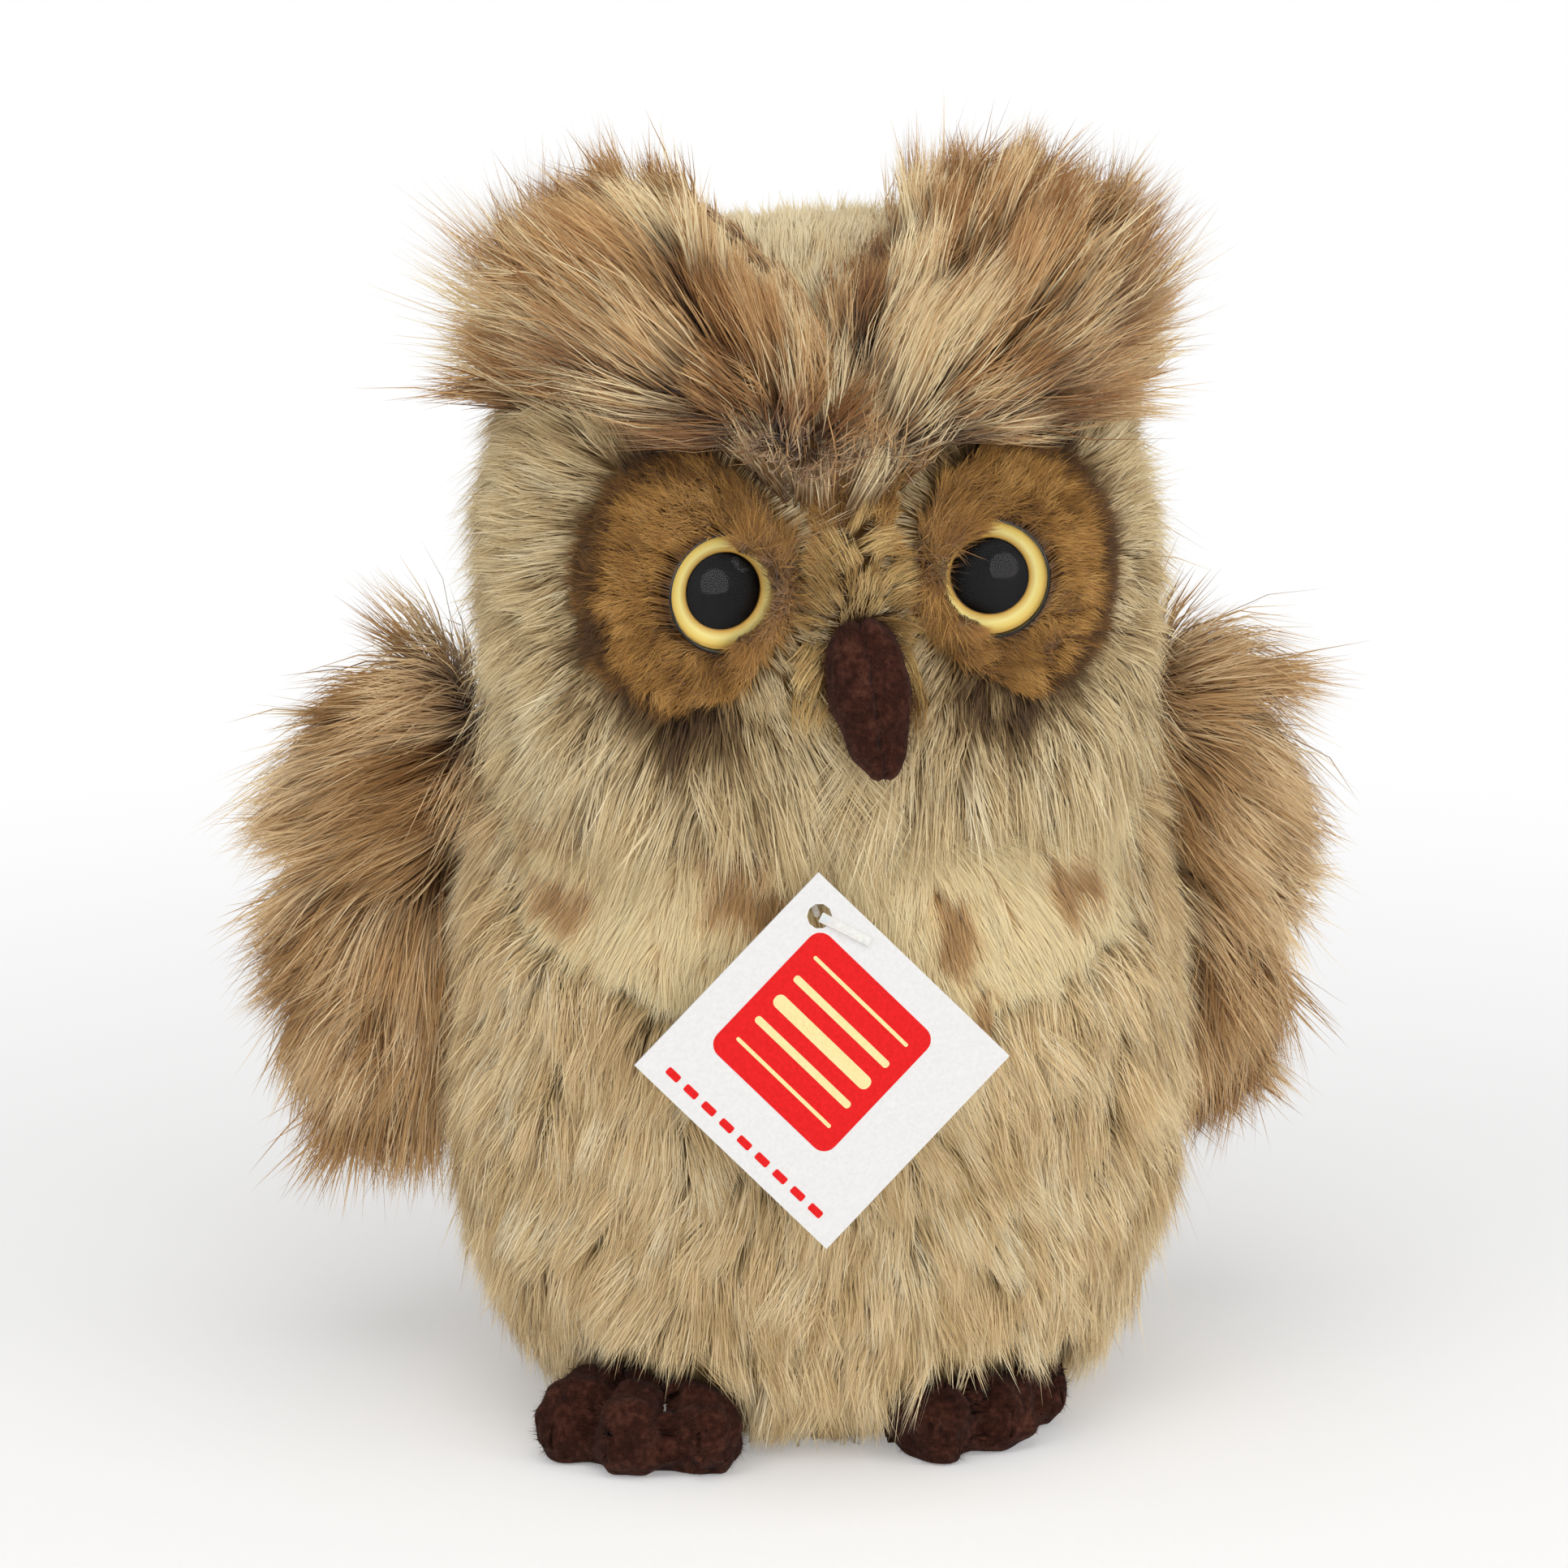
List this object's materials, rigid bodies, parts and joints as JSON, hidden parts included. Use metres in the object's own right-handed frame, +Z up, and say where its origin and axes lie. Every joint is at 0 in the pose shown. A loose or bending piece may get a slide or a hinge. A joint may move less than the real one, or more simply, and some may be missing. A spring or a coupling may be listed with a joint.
{
  "type": "plush owl",
  "caption": "Sitting plush owl of pile fabric with locked plastic eyes, felt beak and feet, wings that lift at the shoulder and a folded card tag on a pin.",
  "frame": {"origin": "middle of the flat base panel, on the surface the owl sits on", "axes": "+Z up; the owl faces -Y, so its own left is +X"},
  "size_m": [0.1754, 0.1139, 0.2035],
  "materials": {
    "belly_plush": "long combed pile, pale beige tips over olive-brown roots",
    "bib_plush": "cream pile with soft brown spots",
    "head_plush": "pale beige pile, darker round the face",
    "bridge_plush": "short mottled beige and brown pile",
    "disc_plush": "short golden-brown pile",
    "tuft_plush": "long tan pile in loose locks",
    "wing_plush": "long beige-tan pile over brown roots",
    "brown_felt": "dark brown brushed felt",
    "fibre": "loose polyester fibre",
    "pellet_cloth": "plain woven cloth over plastic pellets",
    "black_plastic": "polished black plastic",
    "gold_foil": "brushed gold foil ring",
    "clear_plastic": "clear polished acrylic",
    "white_nylon": "translucent white nylon",
    "card": "coated white card with a plain red print"
  },
  "bodies": {
    "body": {"chest_bib_panel": "bib_plush", "belly_front_panel": "belly_plush", "left_back_panel": "belly_plush", "right_back_panel": "belly_plush", "base_panel": "belly_plush", "pellet_bag": "pellet_cloth", "body_filling": "fibre", "tag_pin_anchor": "white_nylon", "head_crown_gusset": "head_plush", "face_bridge_panel": "bridge_plush", "head_filling": "fibre", "beak_filling": "fibre", "head_left_panel": "head_plush", "left_eye_disc": "disc_plush", "left_brow_tuft": "tuft_plush", "left_eye_cup": "black_plastic", "left_eye_iris": "gold_foil", "left_eye_pupil": "black_plastic", "left_eye_lens": "clear_plastic", "left_eye_lock_washer": "white_nylon", "beak_left_felt": "brown_felt", "head_right_panel": "head_plush", "right_eye_disc": "disc_plush", "right_brow_tuft": "tuft_plush", "right_eye_cup": "black_plastic", "right_eye_iris": "gold_foil", "right_eye_pupil": "black_plastic", "right_eye_lens": "clear_plastic", "right_eye_lock_washer": "white_nylon", "beak_right_felt": "brown_felt", "left_foot_felt": "brown_felt", "left_foot_sole": "brown_felt", "left_foot_filling": "fibre", "right_foot_felt": "brown_felt", "right_foot_sole": "brown_felt", "right_foot_filling": "fibre"},
    "left_wing": {"left_wing_front_panel": "wing_plush", "left_wing_back_panel": "wing_plush", "left_wing_filling": "fibre"},
    "right_wing": {"right_wing_front_panel": "wing_plush", "right_wing_back_panel": "wing_plush", "right_wing_filling": "fibre"},
    "tag": {"tag_back_leaf": "card"},
    "tag_cover": {"tag_front_leaf": "card", "tag_pin_head": "white_nylon"}
  },
  "joints": [
    {"name": "left_wing_lift", "type": "hinge", "parent": "body", "child": "left_wing", "pos_m": [0.0545, 0.008, 0.115], "axis": [0.6428, -0.766, 0], "range_deg": [0, 60]},
    {"name": "right_wing_lift", "type": "hinge", "parent": "body", "child": "right_wing", "pos_m": [-0.0545, 0.008, 0.115], "axis": [0.4848, 0.8746, 0], "range_deg": [0, 60]},
    {"name": "tag_swing", "type": "hinge", "parent": "body", "child": "tag", "pos_m": [-0.0042, -0.04938, 0.0915], "axis": [-1, 0, 0], "range_deg": [0, 90]},
    {"name": "tag_cover_open", "type": "hinge", "parent": "tag", "child": "tag_cover", "pos_m": [-0.0042, -0.05064, 0.09862], "axis": [-0.7071, -0.1711, -0.6861], "range_deg": [0, 40]}
  ]
}
